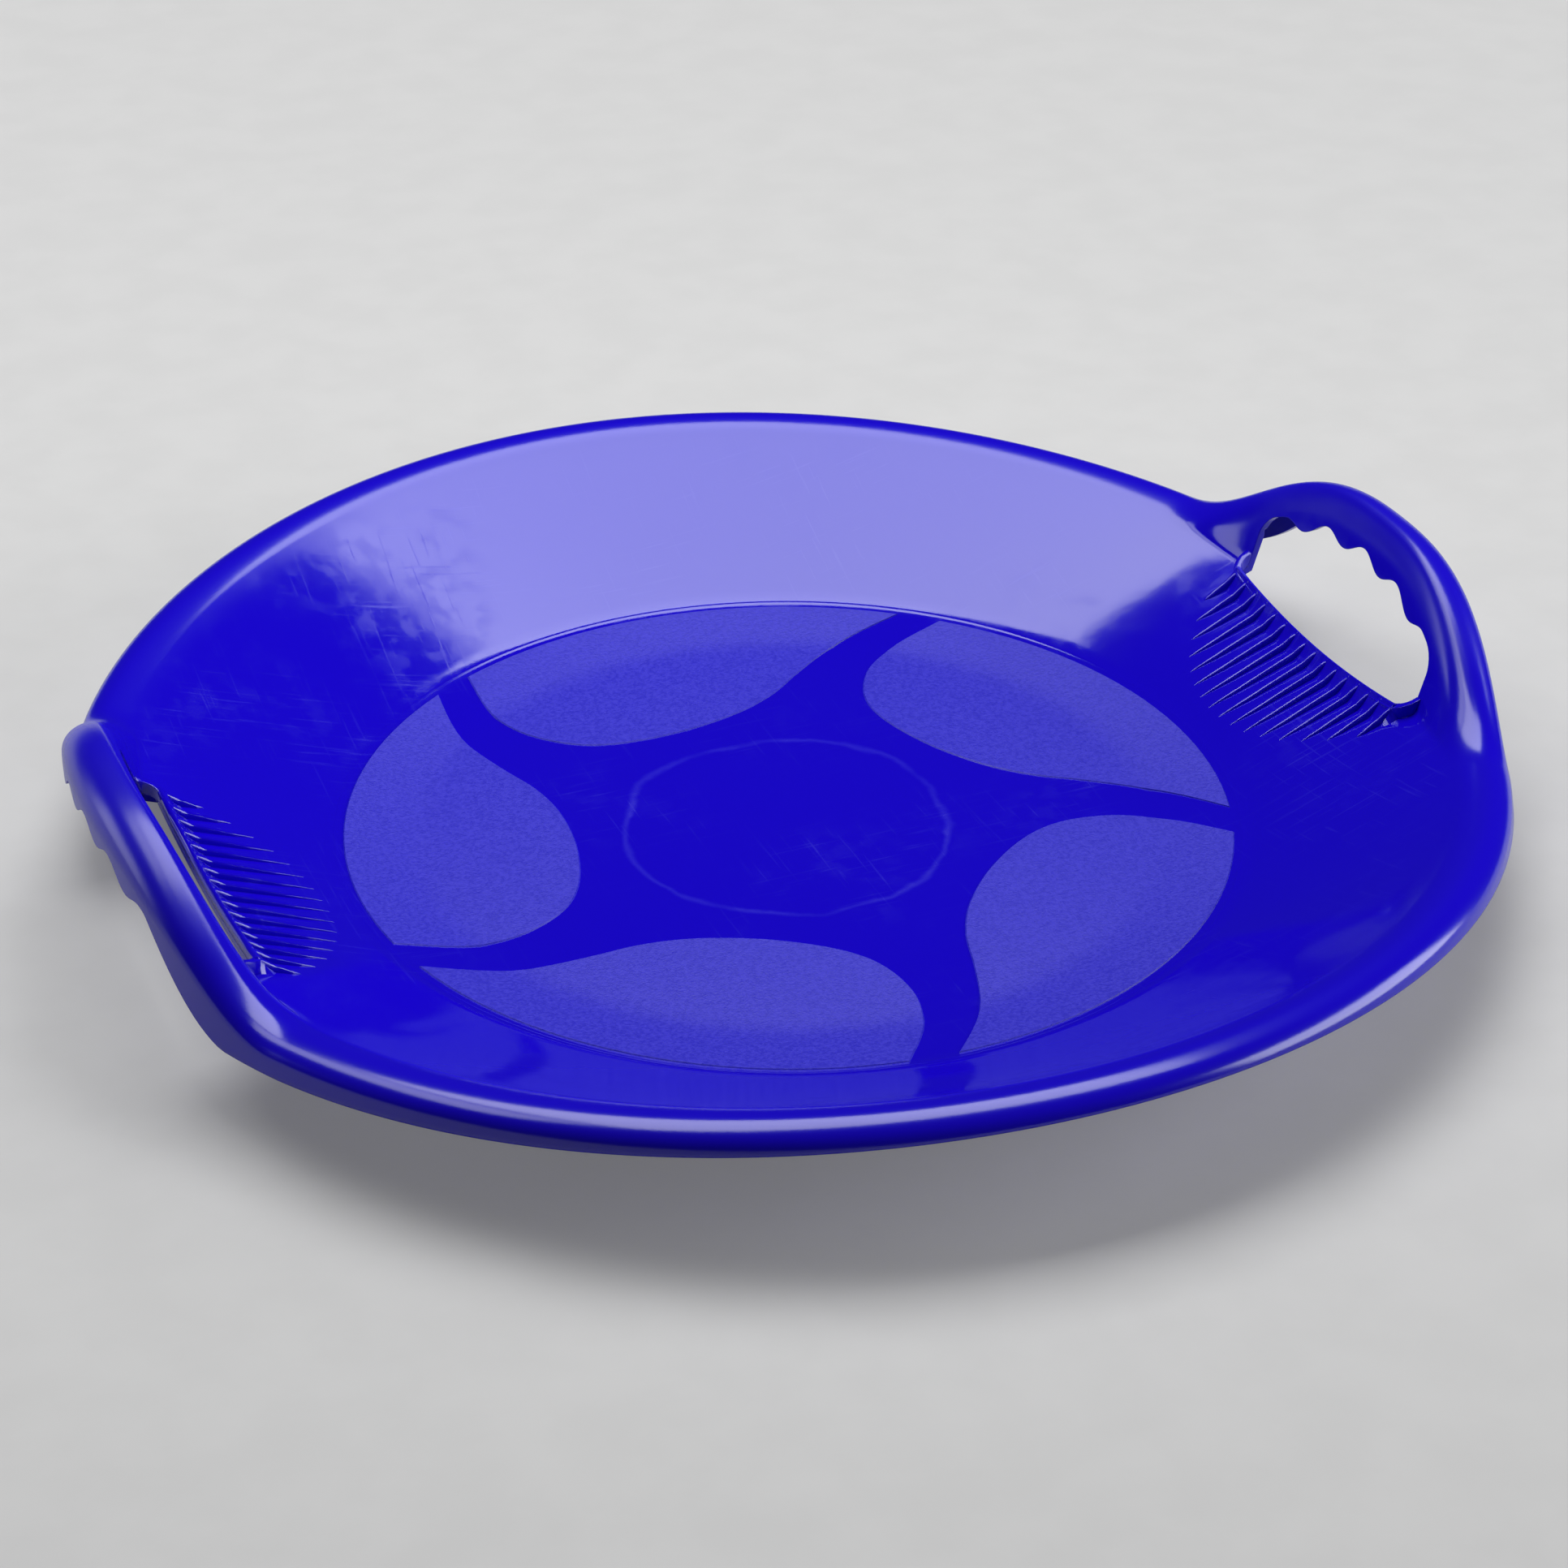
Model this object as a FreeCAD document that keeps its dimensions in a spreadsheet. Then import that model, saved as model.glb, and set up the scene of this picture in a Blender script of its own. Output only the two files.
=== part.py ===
import FreeCAD, Part
import math
import os
import Sketcher
from FreeCAD import Rotation, Vector

doc = FreeCAD.newDocument("saucer_sled")
up = Vector(0, 0, 1)

# Driving sizes in millimetres and degrees. The X axis runs through both handles, Z is up,
# and the origin is the middle of the flat running face under the seat.
sizes = doc.addObject("Spreadsheet::Sheet", "sizes")
SIZE_LIST = [
    ("shell_thickness", 3.2),
    # seat: flat floor, then a short rise to the edge of the disc
    ("disc_radius", 180.0),
    ("rise_width", 32.0),
    ("seat_rise", 4.0),
    # pads: five curved petals that stand a little above the floor
    ("pad_count", 5),
    ("pad_height", 0.45),
    ("pad_start_angle", 96.1),
    ("pad_length", 91.7),
    ("pad_margin", 3.0),
    # bowl: the wall climbs to the rim, and front and rear are bowed up while the sides dip
    ("wall_width", 103.0),
    ("wall_start_slope", 0.43),
    ("rim_top_height", 48.7),
    ("rim_bow", 7.7),
    ("bow_power", 1.5),
    # rolled rim: the wall turns over the top and ends in a short skirt outside, open below
    ("edge_thickness", 2.9),
    ("edge_fillet", 2.0),
    ("rim_lean", 8.0),
    ("rim_lead", 5.5),
    ("rim_lead_drop", 5.5),
    ("rim_roll_width", 11.0),
    ("rim_roll_depth", 6.4),
    ("rim_skirt_lean", 2.2),
    ("skirt_depth", 11.0),
    ("skirt_bow", 11.2),
    # handles: the rim lifts into an arch, wide at the grip and open below
    ("handle_span", 262.0),
    ("handle_rise", 48.0),
    ("arch_fullness", 2.7),
    ("arch_ease", 2.25),
    ("grip_inset", 1.8),
    ("grip_lean", 12.0),
    ("grip_lead", 4.5),
    ("grip_lead_drop", 20.0),
    ("grip_roll_width", 15.5),
    ("grip_roll_depth", 14.5),
    ("grip_skirt_lean", 0.4),
    ("grip_taper", 1.6),
    # hand opening under the arch, with finger ridges along its upper edge
    ("opening_width", 136.0),
    ("grip_depth", 14.5),
    ("opening_arch_radius", 156.0),
    ("opening_corner", 7.5),
    ("ridge_count", 4),
    ("ridge_pitch", 27.8),
    ("ridge_depth", 5.2),
    # outside, the opening runs on beyond its ends and eases down to the skirt
    ("flare_span", 232.0),
    ("flare_height", 76.0),
    ("flare_ease", 2.58),
    # lip on the bowl side of each opening, turned outward round the opening's ends
    ("opening_depth", 43.2),
    ("lip_thickness", 3.0),
    ("lip_rise", 3.5),
    ("lip_end_rise", 2.2),
    ("lip_corner", 9.0),
    ("lip_arm", 7.2),
    # thin ribs that climb from the bowl wall to the top of the lip
    ("rib_count", 16),
    ("rib_thickness", 1.3),
    ("rib_tip_gap", 10.5),
    ("rib_end_setback", 35.0),
    ("rib_setback_power", 2.3),
    ("rib_height", 2.9),
    ("rib_bend", 5.0),
]
for row, (name, value) in enumerate(SIZE_LIST, start=1):
    sizes.set(f"A{row}", name)
    sizes.set(f"B{row}", str(value))
    sizes.setAlias(f"B{row}", name)
doc.recompute()


def size(name):
    """Value of one named cell."""
    return float(sizes.get(name))


shell_thickness = size("shell_thickness")
disc_radius = size("disc_radius")
flat_radius = disc_radius - size("rise_width")
rim_radius = disc_radius + size("wall_width")
rim_bow = size("rim_bow")
edge_thickness = size("edge_thickness")
edge_fillet = size("edge_fillet")
grip_reach = rim_radius - size("grip_inset")
grip_top = size("rim_top_height") - rim_bow + size("handle_rise")
half_opening = size("opening_width") / 2
lip_thickness = size("lip_thickness")
lip_outer = grip_reach - size("opening_depth")
lip_inner = lip_outer - lip_thickness

# Half the angle that a handle takes up on the rim
root_angle = math.asin(size("handle_span") / 2 / rim_radius)
# Where the line of the wall would reach the height of the rim's top
wall_top_radius = rim_radius - size("rim_roll_width") - size("rim_lead")
disc_height = shell_thickness + size("seat_rise")
wall_run = wall_top_radius - disc_radius
wall_climb = size("rim_top_height") - disc_height
wall_curve = (wall_climb - size("wall_start_slope") * wall_run) / wall_run**2
# Taller and wider than anything that a cutter has to pass through
clear_height = 2 * grip_top
clear_reach = 2 * rim_radius
# Share of a corner's sides that makes a cubic curve a quarter of a circle
QUARTER_ROUND = 4 / 3 * (math.sqrt(2) - 1)
# Faces that each round of the rolled edge is made of
ROUND_PIECE_COUNT = 3
# Sections between one end of a swept piece and the other, and the degree of the surface through them
RIM_STEP_COUNT = 8
SIDE_STEP_COUNT = 6
ARCH_STEP_COUNT = 10
LOFT_DEGREE = 3
# Points along the outline of a hand opening
OUTLINE_STEP_COUNT = 48
# How far the hollow's corner below the roll is pulled to its two neighbours
HOLLOW_SHARE = 0.3


def bow(radius, angle):
    """How far the bowl is bowed up at a plan radius and an angle from the handle axis."""
    share = min(max((radius - disc_radius) / wall_run, 0.0), 1.0)
    return -rim_bow * share**size("bow_power") * math.cos(2 * angle)


def wall_height(radius, angle):
    """Height of the wall's upper face."""
    run = radius - disc_radius
    return disc_height + size("wall_start_slope") * run + wall_curve * run**2 + bow(radius, angle)


def wall_slope(radius, angle):
    """Slope of the wall's upper face along a radius."""
    step = edge_thickness
    return (wall_height(radius + step, angle) - wall_height(radius - step, angle)) / (2 * step)


def on_plan(radius, angle, height):
    """Point at a plan radius, an angle from the handle axis and a height."""
    return Vector(radius * math.cos(angle), radius * math.sin(angle), height)


def line(start, end):
    """Straight edge."""
    return Part.LineSegment(start, end).toShape()


def bezier(*poles):
    """Smooth edge with the given control points."""
    curve = Part.BezierCurve()
    curve.setPoles(list(poles))
    return curve.toShape()


def rounded(start, corner, end, pieces=1):
    """Round edges that touch the two sides of a corner at their start and end."""
    handle_start = start + (corner - start) * QUARTER_ROUND
    handle_end = end + (corner - end) * QUARTER_ROUND
    edges = []
    for piece in range(pieces):
        curve = Part.BezierCurve()
        curve.setPoles([start, handle_start, handle_end, end])
        curve.segment(piece / pieces, (piece + 1) / pieces)
        edges.append(curve.toShape())
    return edges


def through(points):
    """Smooth edge through points."""
    curve = Part.BSplineCurve()
    curve.interpolate(points)
    return curve.toShape()


def polygon(points):
    """Straight edges from point to point."""
    return [line(start, end) for start, end in zip(points, points[1:])]


def skirt_height(angle):
    """Height of the rim's lower edge outside."""
    return size("rim_top_height") - size("skirt_depth") - size("skirt_bow") * math.cos(2 * angle)


class EdgeSizes:
    """Sizes of the rolled edge in the radial plane at one plan angle: rim, or arch of a handle."""

    def __init__(self, angle):
        off_axis = (angle + math.pi / 2) % math.pi - math.pi / 2
        along = min(abs(off_axis) / root_angle, 1.0)
        lift = (1 - along**size("arch_fullness"))**size("arch_ease")
        spread = 1 - along**size("grip_taper")

        def blend(rim_name, grip_name):
            return size(rim_name) + (size(grip_name) - size(rim_name)) * spread

        self.top = size("rim_top_height") + bow(rim_radius, angle) + size("handle_rise") * lift
        self.outer = rim_radius - size("grip_inset") * spread
        self.roll_depth = blend("rim_roll_depth", "grip_roll_depth")
        self.skirt_lean = blend("rim_skirt_lean", "grip_skirt_lean")
        self.lead_drop = blend("rim_lead_drop", "grip_lead_drop")
        self.crest = self.outer - blend("rim_roll_width", "grip_roll_width")
        self.inner = self.crest - blend("rim_lead", "grip_lead")
        self.corner = self.inner - blend("rim_lean", "grip_lean")
        self.wall_end = self.corner - edge_fillet
        self.skirt = skirt_height(angle)


def edge_section(angle):
    """Section of the rolled edge: off the wall, over the top and down the skirt, open below."""
    edge = EdgeSizes(angle)

    def point(radius, height):
        return Vector(radius, 0, height)

    def below(direction):
        return Vector(direction.z, 0, -direction.x) * edge_thickness

    wall_top = point(edge.wall_end, wall_height(edge.wall_end, angle))
    wall_foot = wall_top - up * shell_thickness
    corner = point(edge.corner, wall_height(edge.corner, angle))
    inner_top = point(edge.inner, edge.top)
    along_wall = point(1, wall_slope(edge.corner, angle)).normalize()
    along_leg = (inner_top - corner).normalize()
    leg_start = corner + along_leg * edge_fillet
    leg_end = inner_top - along_leg * edge.lead_drop
    crest = point(edge.crest, edge.top)
    outer_top = point(edge.outer - edge.skirt_lean, edge.top)
    skirt_end = point(edge.outer, edge.skirt)
    along_skirt = (skirt_end - outer_top).normalize()
    skirt_start = outer_top + along_skirt * edge.roll_depth
    inset = below(along_skirt)
    sunk = up * -edge_thickness
    half_turn = (math.atan2(along_leg.z, along_leg.x) - math.atan2(along_wall.z, along_wall.x)) / 2
    leg_foot = corner + below(along_wall) + along_wall * (edge_thickness * math.tan(half_turn))
    outside = [bezier(wall_top, corner, leg_start), line(leg_start, leg_end)]
    outside += rounded(leg_end, inner_top, crest, ROUND_PIECE_COUNT)
    outside += rounded(crest, outer_top, skirt_start, ROUND_PIECE_COUNT)
    outside.append(line(skirt_start, skirt_end))
    hollow_corner = (crest + sunk) * HOLLOW_SHARE + (skirt_start + inset) * HOLLOW_SHARE
    hollow_corner += (outer_top + inset + sunk) * (1 - 2 * HOLLOW_SHARE)
    inside = polygon([
        skirt_end,
        skirt_end + inset,
        skirt_start + inset,
        hollow_corner,
        crest + sunk,
        leg_end + below(along_leg),
        leg_foot,
        wall_foot,
        wall_top,
    ])
    section = Part.Wire(outside + inside)
    section.rotate(Vector(), up, math.degrees(angle))
    return section


def wall_strip(angle, end_radius, rise=0.0):
    """Section of a wall from the seat's disc to an outer radius, with its upper face raised."""
    third = (end_radius - disc_radius) / 3
    start = Vector(disc_radius, 0, wall_height(disc_radius, angle))
    end = Vector(end_radius, 0, wall_height(end_radius, angle))
    after_start = start + Vector(third, 0, third * wall_slope(disc_radius, angle))
    before_end = end - Vector(third, 0, third * wall_slope(end_radius, angle))
    wall_face = [start, after_start, before_end, end]
    top = [point + up * rise for point in wall_face]
    bottom = [point - up * shell_thickness for point in wall_face]
    section = Part.Wire([
        bezier(*top), line(top[-1], bottom[-1]), bezier(*bottom[::-1]), line(bottom[0], top[0])
    ])
    section.rotate(Vector(), up, math.degrees(angle))
    return section


def wall_section(angle):
    """Section of the bowl wall from the seat's disc to the rolled edge."""
    return wall_strip(angle, EdgeSizes(angle).wall_end)


def lip_ground_section(angle):
    """Section of the bowl wall carried on below the handle, which the lip stands on."""
    return wall_strip(angle, rim_radius)


def lip_rise(angle):
    """How far the lip stands above the wall, more towards the ends of the opening."""
    along = math.tan(angle) * lip_outer / half_opening
    return size("lip_rise") + size("lip_end_rise") * along**2


def lip_layer_section(angle):
    """Section of the same wall, raised by the height of the lip."""
    return wall_strip(angle, rim_radius, lip_rise(angle))


def loft_sector(section, start_angle, end_angle, step_count):
    """Solid through radial sections from one angle to another."""
    angles = [start_angle + (end_angle - start_angle) * step / step_count for step in range(step_count + 1)]
    return Part.makeLoft([section(angle) for angle in angles], True, False, False, LOFT_DEGREE)


def add_feature(name, shape):
    """Document object that holds a computed shape."""
    feature = doc.addObject("Part::Feature", name)
    feature.Label = name
    feature.Shape = shape
    return feature


def solid_at(shape, point):
    """The solid of a shape that holds a point."""
    return next(solid for solid in shape.Solids if solid.isInside(point, edge_thickness / 100, True))


sub_parts = []


def sub_part(name, shape, turned=False):
    """Names one finished sub-part; a turned one stands on the opposite side."""
    piece = add_feature(name, shape)
    if turned:
        piece.Placement = FreeCAD.Placement(Vector(), Rotation(up, 180))
    sub_parts.append(piece)


# Seat floor: a revolved dish, flat in the middle and below it, with a short rise to its edge
seat_floor = doc.addObject("PartDesign::Body", "seat_floor")
seat_sketch = seat_floor.newObject("Sketcher::SketchObject", "seat_profile")
upright_plane = next(item for item in seat_floor.Origin.OriginFeatures if item.Role == "XZ_Plane")
seat_sketch.AttachmentSupport = [(upright_plane, "")]
seat_sketch.MapMode = "FlatFace"


def flat_line(start_x, start_y, end_x, end_y):
    """Straight line in the plane of a sketch."""
    return Part.LineSegment(Vector(start_x, start_y, 0), Vector(end_x, end_y, 0))


seat_rise = size("seat_rise")
under_flat = seat_sketch.addGeometry(flat_line(0, 0, flat_radius, 0))
under_rise = seat_sketch.addGeometry(flat_line(flat_radius, 0, disc_radius, seat_rise))
disc_edge = seat_sketch.addGeometry(flat_line(disc_radius, seat_rise, disc_radius, disc_height))
upper_rise = seat_sketch.addGeometry(flat_line(disc_radius, disc_height, flat_radius, shell_thickness))
upper_flat = seat_sketch.addGeometry(flat_line(flat_radius, shell_thickness, 0, shell_thickness))
middle_line = seat_sketch.addGeometry(flat_line(0, shell_thickness, 0, 0))
# A line's start is its point 1, its end is its point 2, and (-1, 1) is the origin
for constraint in (
    ("Coincident", under_flat, 1, -1, 1),
    ("Horizontal", under_flat),
    ("Coincident", under_flat, 2, under_rise, 1),
    ("Coincident", under_rise, 2, disc_edge, 1),
    ("Vertical", disc_edge),
    ("Coincident", disc_edge, 2, upper_rise, 1),
    ("Coincident", upper_rise, 2, upper_flat, 1),
    ("Horizontal", upper_flat),
    ("Equal", under_flat, upper_flat),
    ("Coincident", upper_flat, 2, middle_line, 1),
    ("Coincident", middle_line, 2, under_flat, 1),
):
    seat_sketch.addConstraint(Sketcher.Constraint(*constraint))


def bind_length(name, *constraint):
    """Adds a constraint that takes its length from the sheet."""
    index = seat_sketch.addConstraint(Sketcher.Constraint(*constraint))
    seat_sketch.renameConstraint(index, name)
    seat_sketch.setExpression(f"Constraints.{name}", f"sizes.{name}")


bind_length("rise_width", "DistanceX", under_flat, 2, disc_edge, 1, size("rise_width"))
bind_length("disc_radius", "DistanceX", -1, 1, disc_edge, 1, disc_radius)
bind_length("seat_rise", "DistanceY", -1, 1, disc_edge, 1, seat_rise)
bind_length("shell_thickness", "DistanceY", disc_edge, 1, disc_edge, 2, shell_thickness)
seat_dish = seat_floor.newObject("PartDesign::Revolution", "seat_dish")
seat_dish.Profile = seat_sketch
seat_dish.ReferenceAxis = (seat_sketch, ["V_Axis"])
seat_dish.Angle = 360
doc.recompute()
sub_parts.append(seat_floor)

# Seat pads: petals between an S curve, a round inner end and the ring near the disc's edge.
# Each point of the curve is a share of the way out and a turn from the petal's axis.
PAD_CURVE = [
    (1.0, 21.0),
    (0.706, 26.1),
    (0.455, 27.8),
    (0.215, 24.8),
    (0.073, 16.8),
    (0.0, 0.0),
    (0.073, -16.8),
    (0.215, -25.7),
    (0.433, -31.6),
    (0.706, -37.4),
    (1.0, -45.0),
]


def pad_outline(axis_angle):
    """Closed outline of one petal; its inner end points to the middle of the seat."""
    outer = disc_radius - size("pad_margin")
    inner = outer - size("pad_length")
    points = []
    for share, turn in PAD_CURVE:
        points.append(on_plan(inner + (outer - inner) * share, axis_angle + math.radians(turn), 0))
    ring_turn = (PAD_CURVE[0][1] + PAD_CURVE[-1][1]) / 2
    ring_middle = on_plan(outer, axis_angle + math.radians(ring_turn), 0)
    return Part.Wire([through(points), Part.Arc(points[-1], ring_middle, points[0]).toShape()])


pad_layer = seat_floor.Shape.translated(up * size("pad_height"))
pad_count = int(size("pad_count"))
for number in range(pad_count):
    axis_angle = math.radians(size("pad_start_angle")) - 2 * math.pi * number / pad_count
    petal = Part.Face(pad_outline(axis_angle)).extrude(up * clear_height)
    petal = petal.common(pad_layer).cut(seat_floor.Shape)
    sub_part(f"seat_pad_{number + 1}", petal.Solids[0])

# Bowl wall and rolled rim, front and rear: from one handle root round to the other
for name, start_angle in (("rear", root_angle), ("front", root_angle + math.pi)):
    end_angle = start_angle + math.pi - 2 * root_angle
    sub_part(f"wall_{name}", loft_sector(wall_section, start_angle, end_angle, RIM_STEP_COUNT))
    sub_part(f"rim_{name}", loft_sector(edge_section, start_angle, end_angle, RIM_STEP_COUNT))

# Side walls: the wall between the handle roots, cut away outside the lip for the hand opening
side_wall = add_feature("side_wall", loft_sector(wall_section, -root_angle, root_angle, SIDE_STEP_COUNT))
opening_cutter = doc.addObject("Part::Box", "opening_cutter")
opening_cutter.setExpression("Length", "sizes.disc_radius + sizes.wall_width")
opening_cutter.setExpression("Width", "sizes.opening_width")
opening_cutter.setExpression("Height", "sizes.rim_top_height + sizes.handle_rise")
lip_outer_expression = "sizes.disc_radius + sizes.wall_width - sizes.grip_inset - sizes.opening_depth"
opening_cutter.setExpression("Placement.Base.x", lip_outer_expression)
opening_cutter.setExpression("Placement.Base.y", "-sizes.opening_width / 2")
wall_right = doc.addObject("Part::Cut", "wall_right")
wall_right.Base = side_wall
wall_right.Tool = opening_cutter
doc.recompute()
sub_parts.append(wall_right)
sub_part("wall_left", wall_right.Shape, turned=True)

# Handle: the arch of the rolled edge. The window for the hand is cut through its inner leg, and
# outside the same edge runs on beyond the window's ends and eases down to the rim's skirt.
arch_radius = size("opening_arch_radius")
ridge_pitch = size("ridge_pitch")
ridge_reach = size("ridge_count") / 2 * ridge_pitch
half_flare = size("flare_span") / 2


def opening_edge(side):
    """Height of the window's upper edge: a shallow arch with finger ridges hanging from it."""
    arch = grip_top - size("grip_depth") - arch_radius + math.sqrt(arch_radius**2 - side**2)
    if abs(side) > ridge_reach:
        return arch
    return arch - size("ridge_depth") * (0.5 - 0.5 * math.cos(2 * math.pi * side / ridge_pitch))


def outer_edge(side):
    """Height of the lower edge of the handle's outer leg."""
    flare = size("flare_height") * (1 - (side / half_flare)**2)**size("flare_ease")
    return min(opening_edge(side), skirt_height(math.asin(side / rim_radius)) + flare)


def edge_points(edge, reach):
    """Points along an edge from one side of the handle to the other."""
    sides = [reach * (2 * step / OUTLINE_STEP_COUNT - 1) for step in range(OUTLINE_STEP_COUNT + 1)]
    return [Vector(0, side, edge(side)) for side in sides]


def cutter(edges, start_reach, end_reach):
    """Block that cuts an outline through a handle from one reach to another."""
    block = Part.Face(Part.Wire(Part.__sortEdges__(edges))).extrude(Vector(end_reach - start_reach, 0, 0))
    return block.translated(Vector(start_reach, 0, 0))


half_top = half_opening - size("opening_corner")
window_points = edge_points(opening_edge, half_top)
corner_drop = size("opening_corner") * half_top / math.sqrt(arch_radius**2 - half_top**2)
corner_height = window_points[0].z - corner_drop
corner_end = corner_height - size("opening_corner")
window_edges = [through(window_points)]
for end, top_end in ((-1, window_points[0]), (1, window_points[-1])):
    corner = Vector(0, end * half_opening, corner_height)
    window_edges += rounded(top_end, corner, Vector(0, end * half_opening, corner_end))
window_edges += polygon([
    Vector(0, -half_opening, corner_end),
    Vector(0, -half_opening, 0),
    Vector(0, half_opening, 0),
    Vector(0, half_opening, corner_end),
])
window = cutter(window_edges, 0, grip_reach - size("grip_roll_width"))
flare_points = edge_points(outer_edge, half_flare)
flare_foot = [Vector(0, half_flare, 0), Vector(0, -half_flare, 0)]
flare_edges = [through(flare_points)] + polygon([flare_points[-1]] + flare_foot + [flare_points[0]])
flare = cutter(flare_edges, rim_radius * math.cos(root_angle), clear_reach)
handle = loft_sector(edge_section, -root_angle, root_angle, ARCH_STEP_COUNT).cut(window).cut(flare)
sub_part("handle_right", handle)
sub_part("handle_left", handle, turned=True)


# Lip: a low upright wall on the bowl's wall, along the opening and round its ends to the handle
def rounded_block(inner_reach, outer_reach, half_width, corner_radius):
    """Block from one reach to another, with its two upright edges on the bowl side rounded."""
    depth = outer_reach - inner_reach
    block = Part.makeBox(depth, 2 * half_width, clear_height, Vector(inner_reach, -half_width, 0))
    bowl_edges = []
    for edge in block.Edges:
        box = edge.BoundBox
        if box.XMax < inner_reach + depth / 2 and box.YLength < half_width:
            bowl_edges.append(edge)
    return block.makeFillet(corner_radius, bowl_edges)


lip_corner = size("lip_corner")
lip_end = lip_outer + size("lip_arm")
lip_block = rounded_block(lip_inner, lip_end, half_opening + lip_thickness, lip_corner)
lip_block = lip_block.cut(rounded_block(lip_outer, clear_reach, half_opening, lip_corner - lip_thickness))
lip_layer = loft_sector(lip_layer_section, -root_angle, root_angle, SIDE_STEP_COUNT)
lip_ground = loft_sector(lip_ground_section, -root_angle, root_angle, SIDE_STEP_COUNT)
lip = lip_block.common(lip_layer).cut(lip_ground).cut(side_wall.Shape).cut(handle)
lip_middle = Vector(lip_outer - lip_thickness / 2, 0, 0)
lip_inside = lip_middle + up * (wall_height(lip_middle.x, 0) + lip_rise(0) / 2)
lip = solid_at(lip, lip_inside)
sub_part("hand_lip_right", lip)
sub_part("hand_lip_left", lip, turned=True)


# Ribs: thin fins in the handle's direction, each a needle on the wall that bends up the lip
def rib(side):
    """One rib at a distance along the handle."""
    setback = size("rib_end_setback") * (abs(side) / half_opening)**size("rib_setback_power")
    tip_reach = disc_radius + size("rib_tip_gap") + setback

    def wall_at(reach):
        return wall_height(math.hypot(reach, side), math.atan2(side, reach))

    bend_reach = lip_inner - size("rib_bend")
    inside_lip = Vector(lip_thickness / 2, 0, 0)
    tip = Vector(tip_reach, side, wall_at(tip_reach))
    bend = Vector(bend_reach, side, wall_at(bend_reach) + size("rib_height"))
    top = Vector(lip_inner, side, wall_at(lip_inner) + lip_rise(math.atan2(side, lip_inner)))
    turn = bend + (bend - tip) * ((lip_inner - bend_reach) / (bend_reach - tip_reach))
    crest = [line(tip, bend), bezier(bend, turn, top)]
    tip_foot = Vector(tip_reach, side, 0)
    lip_foot = Vector(lip_inner, side, 0) + inside_lip
    foot = polygon([top, top + inside_lip, lip_foot, tip_foot, tip])
    fin = Part.Face(Part.Wire(crest + foot)).extrude(Vector(0, size("rib_thickness"), 0))
    fin.translate(Vector(0, -size("rib_thickness") / 2, 0))
    rib_inside = bend - up * (size("rib_height") / 2)
    return solid_at(fin.cut(side_wall.Shape).cut(lip), rib_inside)


rib_count = int(size("rib_count"))
rib_pitch = size("opening_width") / rib_count
rib_sides = [rib_pitch * (number - (rib_count - 1) / 2) for number in range(rib_count)]
ribs = Part.makeCompound([rib(side) for side in rib_sides])
sub_part("lip_ribs_right", ribs)
sub_part("lip_ribs_left", ribs, turned=True)

# Every object has to be sound before anything is written
doc.recompute()
for item in doc.Objects:
    if "Invalid" in item.State or "Error" in item.State:
        raise RuntimeError(f"{item.Label} failed: {item.State}")
for piece in sub_parts:
    if piece.Shape.isNull() or not piece.Shape.isValid():
        raise RuntimeError(f"{piece.Label} has no sound shape")
os.makedirs("parts", exist_ok=True)
for piece in sub_parts:
    piece.Shape.exportStep(f"parts/{piece.Label}.step")
    print(piece.Label, len(piece.Shape.Solids), round(piece.Shape.Volume))
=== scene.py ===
import math

import bmesh
import bpy
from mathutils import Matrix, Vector


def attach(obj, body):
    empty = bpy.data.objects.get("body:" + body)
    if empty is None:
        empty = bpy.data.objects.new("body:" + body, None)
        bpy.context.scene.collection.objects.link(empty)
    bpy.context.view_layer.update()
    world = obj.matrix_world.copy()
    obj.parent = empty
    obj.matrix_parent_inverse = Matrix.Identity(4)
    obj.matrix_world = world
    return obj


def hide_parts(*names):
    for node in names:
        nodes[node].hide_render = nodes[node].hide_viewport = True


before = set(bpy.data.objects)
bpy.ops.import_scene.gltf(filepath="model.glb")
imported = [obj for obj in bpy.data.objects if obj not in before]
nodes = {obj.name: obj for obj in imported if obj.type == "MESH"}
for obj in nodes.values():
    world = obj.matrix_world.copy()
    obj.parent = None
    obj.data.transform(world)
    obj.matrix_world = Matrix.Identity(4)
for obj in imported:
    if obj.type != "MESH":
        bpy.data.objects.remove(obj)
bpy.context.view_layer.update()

# Sizes of the moulding in metres, the same as in the part's source
SHELL = 0.0032
DISC_RADIUS = 0.180
FLAT_RADIUS = DISC_RADIUS - 0.032
SEAT_RISE = 0.004
RIM_RADIUS = DISC_RADIUS + 0.103
WALL_START_SLOPE = 0.43
RIM_TOP = 0.0487
RIM_BOW = 0.0077
BOW_POWER = 1.5
EDGE = 0.0029
EDGE_FILLET = 0.002
SKIRT_HEIGHT = RIM_TOP - 0.011
SKIRT_BOW = 0.0112
HANDLE_SPAN = 0.262
HANDLE_RISE = 0.048
ARCH_FULLNESS = 2.7
ARCH_EASE = 2.25
GRIP_REACH = RIM_RADIUS - 0.0018
GRIP_TAPER = 1.6
OPENING_WIDTH = 0.136
OPENING_TOP = RIM_TOP - RIM_BOW + HANDLE_RISE - 0.0145
OPENING_ARCH = 0.156
OPENING_CORNER = 0.0075
RIDGE_COUNT = 4
RIDGE_PITCH = 0.0278
RIDGE_DEPTH = 0.0052
FLARE_SPAN = 0.232
FLARE_HEIGHT = 0.076
FLARE_EASE = 2.58
LIP_OUTER = GRIP_REACH - 0.0432
LIP_RISE = 0.0035
LIP_END_RISE = 0.0022
RIB_COUNT = 16
RIB_TIP_GAP = 0.0105
RIB_END_SETBACK = 0.035
RIB_SETBACK_POWER = 2.3
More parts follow.
